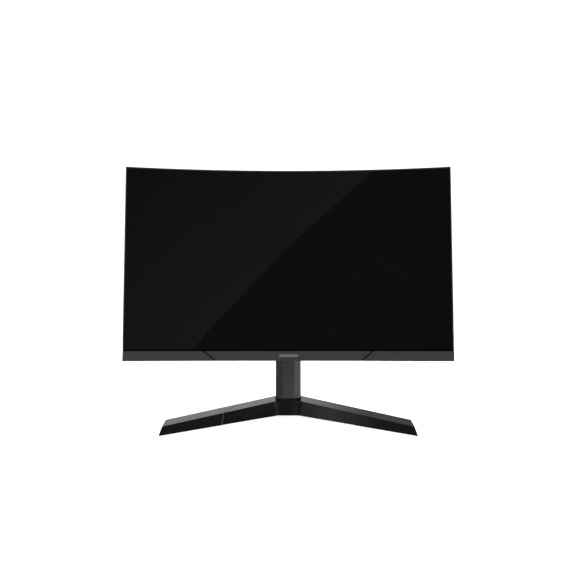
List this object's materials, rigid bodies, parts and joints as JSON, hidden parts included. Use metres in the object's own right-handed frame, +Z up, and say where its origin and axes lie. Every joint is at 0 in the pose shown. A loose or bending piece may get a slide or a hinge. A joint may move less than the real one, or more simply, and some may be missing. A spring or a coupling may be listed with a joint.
{
  "type": "computer monitor",
  "caption": "Curved wide-screen desktop monitor: glossy dark screen, slim bezels, faceted grey chin, slender column and V-shaped gloss black stand; the display tilts.",
  "frame": {"origin": "on the table, under the centre of the whole object's bounding box", "axes": "+X to the viewer's right, +Y away from the viewer (the screen faces -Y), +Z up"},
  "size_m": [0.5398, 0.2171, 0.423],
  "materials": {
    "panel_glass": "glossy dark display glass",
    "film": "translucent white film",
    "light_guide": "clear acrylic",
    "reflector": "white reflector film",
    "led_strip": "white strip board",
    "sheet_steel": "zinc plated sheet steel",
    "frame_black": "fine matt black",
    "chin_grey": "satin gunmetal grey",
    "badge": "satin grey",
    "lens": "smoked clear plastic",
    "led": "clear LED body",
    "rear_black": "textured matt black",
    "port_shell": "nickel plated shell",
    "port_plastic": "black plastic",
    "circuit_board": "green solder mask",
    "wire": "flat cable jacket",
    "screw_black": "black oxide",
    "screw_zinc": "zinc plated",
    "button": "satin black",
    "switch": "switch body",
    "cast": "black painted bracket steel",
    "shaft": "ground steel",
    "column_grey": "satin gunmetal grey",
    "base_black": "high gloss black",
    "rubber": "black rubber"
  },
  "bodies": {
    "stand": {"hinge_yoke": "cast", "hinge_shaft": "shaft", "friction_washers": "shaft", "spring_washers": "shaft", "hinge_nuts": "screw_zinc", "column_front_cover": "column_grey", "column_rear_cover": "rear_black", "column_spine": "cast", "column_cap": "rear_black", "spine_screws": "screw_zinc", "column_screws": "screw_black", "column_foot": "cast", "column_collar": "base_black", "base_shell": "base_black", "leg_end_left": "base_black", "leg_end_right": "base_black", "base_plate": "cast", "hub_socket": "cast", "base_screws": "screw_black", "rubber_feet": "rubber"},
    "display": {"lcd_panel": "panel_glass", "optical_films": "film", "light_guide": "light_guide", "reflector_sheet": "reflector", "led_strip": "led_strip", "panel_tray": "sheet_steel", "middle_frame": "frame_black", "chin_bezel": "chin_grey", "chin_badge": "badge", "led_lens": "lens", "power_led": "led", "rear_cover": "rear_black", "cover_screws": "screw_black", "io_bay": "rear_black", "audio_jack": "port_plastic", "hdmi_port": "port_shell", "display_port": "port_shell", "dc_jack": "port_plastic", "chassis_plate": "sheet_steel", "main_board": "circuit_board", "power_board": "circuit_board", "tcon_board": "circuit_board", "board_shield": "sheet_steel", "board_standoffs": "screw_zinc", "board_screws": "screw_zinc", "panel_cable": "wire", "backlight_cable": "wire", "button_cable": "wire", "lock_plate": "sheet_steel", "button_board": "circuit_board", "tact_switches": "switch", "head_bracket": "cast", "head_screws": "screw_zinc", "hinge_cover": "rear_black"},
    "menu_key": {"menu_button": "button"},
    "up_key": {"up_button": "button"},
    "down_key": {"down_button": "button"},
    "source_key": {"source_button": "button"},
    "power_key": {"power_button": "button"},
    "base_knob": {"thumb_screw": "screw_zinc"}
  },
  "joints": [
    {"name": "display_tilt", "type": "hinge", "parent": "stand", "child": "display", "pos_m": [0, 0.07714, 0.24655], "axis": [-1, 0, 0], "range_deg": [-9, 11]},
    {"name": "menu_press", "type": "slide", "parent": "display", "child": "menu_key", "axis": [0, 0.0698, 0.9976], "range_m": [0, 0.0005], "stiffness_N_per_m": 600, "springref_m": -0.001},
    {"name": "up_press", "type": "slide", "parent": "display", "child": "up_key", "axis": [0, 0.0698, 0.9976], "range_m": [0, 0.0005], "stiffness_N_per_m": 600, "springref_m": -0.001},
    {"name": "down_press", "type": "slide", "parent": "display", "child": "down_key", "axis": [0, 0.0698, 0.9976], "range_m": [0, 0.0005], "stiffness_N_per_m": 600, "springref_m": -0.001},
    {"name": "source_press", "type": "slide", "parent": "display", "child": "source_key", "axis": [0, 0.0698, 0.9976], "range_m": [0, 0.0005], "stiffness_N_per_m": 600, "springref_m": -0.001},
    {"name": "power_press", "type": "slide", "parent": "display", "child": "power_key", "axis": [0, 0.0698, 0.9976], "range_m": [0, 0.0005], "stiffness_N_per_m": 600, "springref_m": -0.001},
    {"name": "knob_turn", "type": "hinge", "parent": "stand", "child": "base_knob", "pos_m": [0, 0.076, 0.005], "axis": [0, 0, 1], "continuous": true}
  ]
}
